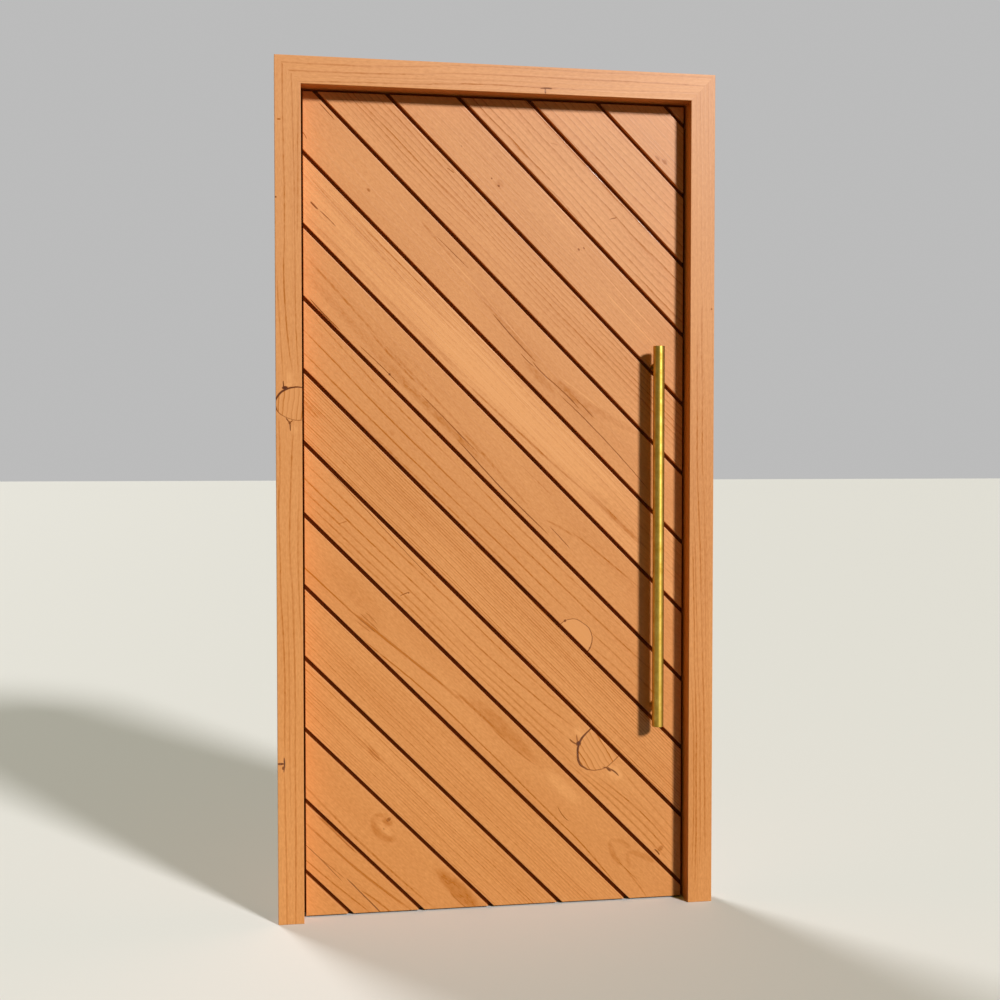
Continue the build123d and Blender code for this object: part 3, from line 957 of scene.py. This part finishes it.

# %% [markdown]
# ## Light, floor and background
#
# One soft key lamp stands to the right, above and in front, as the shadows of the frame on the leaf
# tell. A weak fill keeps the shadows warm and deep. A weaker lamp behind shows the back. The floor is
# pale round the door. Far out to the left in front it is painted darker, a painted fall-off of the
# light, and the brass mirrors that painted shade as its dark band.

# %% Lamps
KEY_FROM = Vector((0.6, -1.0, 0.61))
BACK_FROM = Vector((-0.5, 1.0, 0.7))
KEY_STRENGTH, KEY_SPREAD = 3.45, 8
BACK_STRENGTH, BACK_SPREAD = 2.4, 20


def sun(name, towards, strength, spread):
    """A lamp far away: it shines from the given direction, and its spread softens the shadows."""
    lamp = bpy.data.objects.new(name, bpy.data.lights.new(name, "SUN"))
    lamp.data.energy = strength
    lamp.data.angle = math.radians(spread)
    lamp.rotation_euler = towards.to_track_quat("Z", "Y").to_euler()
    bpy.context.collection.objects.link(lamp)
    return lamp


sun("key", KEY_FROM, KEY_STRENGTH, KEY_SPREAD)
sun("back", BACK_FROM, BACK_STRENGTH, BACK_SPREAD)
print("lamps done")

# %% Floor and background
FLOOR_SIZE = 60.0
FILL = (0.095, 0.092, 0.012, 1.0)
BACKDROP = (0.5, 0.5, 0.5, 1.0)
BEHIND_CAMERA = (0.15, 0.148, 0.14, 1.0)
FRONT_UNTIL, BEYOND_FROM = -0.3, 0.5
# The second floor colour is painted shade for the floor far out to the left in front.
PALE_UNTIL, DIM_FROM = 0.95, 4.5
PALE, PAINTED_FALLOFF, SPARE_LIGHT = linear(224, 222, 219), linear(140, 139, 136), linear(70, 64, 30)


def seen_ray(tree):
    """1 for rays that show the background, also in metal and glass, and 0 for rays that only light."""
    path = tree.nodes.new("ShaderNodeLightPath")
    either = path.outputs["Is Camera Ray"]
    for name in ("Is Glossy Ray", "Is Transmission Ray"):
        add = tree.nodes.new("ShaderNodeMath")
        add.operation, add.use_clamp = "ADD", True
        tree.links.new(either, add.inputs[0])
        tree.links.new(path.outputs[name], add.inputs[1])
        either = add.outputs[0]
    return either


def pale_floor():
    """Pale round the door, painted darker far out to the left in front as painted shade, and darker for
    light thrown back at it.

    The distance towards the left in front is minus the mean of x and y, times the square root of 2.
    """
    f = Finish("pale_floor")
    x, y, z = f.split(f.tree.nodes.new("ShaderNodeTexCoord").outputs["Object"])
    out_left = f.calc("MULTIPLY", f.calc("ADD", x, y), -math.sqrt(0.5))
    # Painted shade: far out to the left in front the floor is painted darker, as if the light fell off
    # there.
    seen = f.tint(f.ease(out_left, DIM_FROM, PALE_UNTIL), PAINTED_FALLOFF, PALE)
    f.feed(f.shader.inputs["Base Color"], f.tint(seen_ray(f.tree), SPARE_LIGHT, seen))
    f.shader.inputs["Roughness"].default_value = 0.9
    f.shader.inputs["Specular IOR Level"].default_value = 0.1
    return f.material


across, away = np.meshgrid(np.linspace(-1, 1, 5), np.linspace(-1, 1, 5))
ground = np.stack([across * FLOOR_SIZE, away * FLOOR_SIZE, 0 * across], -1).reshape(-1, 3)
index = np.arange(25).reshape(5, 5)
tiles = np.stack([index[:-1, :-1], index[:-1, 1:], index[1:, 1:], index[1:, :-1]], -1).reshape(-1, 4)
floor = make_piece("floor", ground, tiles.tolist(), [pale_floor()])

world = bpy.data.worlds.new("studio")
bpy.context.scene.world = world
world.use_nodes = True
tree = world.node_tree
direction = tree.nodes.new("ShaderNodeTexCoord").outputs["Generated"]
parts = tree.nodes.new("ShaderNodeSeparateXYZ")
tree.links.new(direction, parts.inputs[0])
turn = tree.nodes.new("ShaderNodeMapRange")
turn.interpolation_type = "SMOOTHSTEP"
turn.inputs["From Min"].default_value = FRONT_UNTIL
turn.inputs["From Max"].default_value = BEYOND_FROM
tree.links.new(parts.outputs["Y"], turn.inputs["Value"])
shown = tree.nodes.new("ShaderNodeMix")
shown.data_type = "RGBA"
tree.links.new(turn.outputs["Result"], shown.inputs["Factor"])
shown.inputs[6].default_value = BEHIND_CAMERA
shown.inputs[7].default_value = BACKDROP
final = tree.nodes.new("ShaderNodeMix")
final.data_type = "RGBA"
tree.links.new(seen_ray(tree), final.inputs["Factor"])
final.inputs[6].default_value = FILL
tree.links.new(shown.outputs[2], final.inputs[7])
tree.links.new(final.outputs[2], tree.nodes["Background"].inputs["Color"])
print("floor and background done")
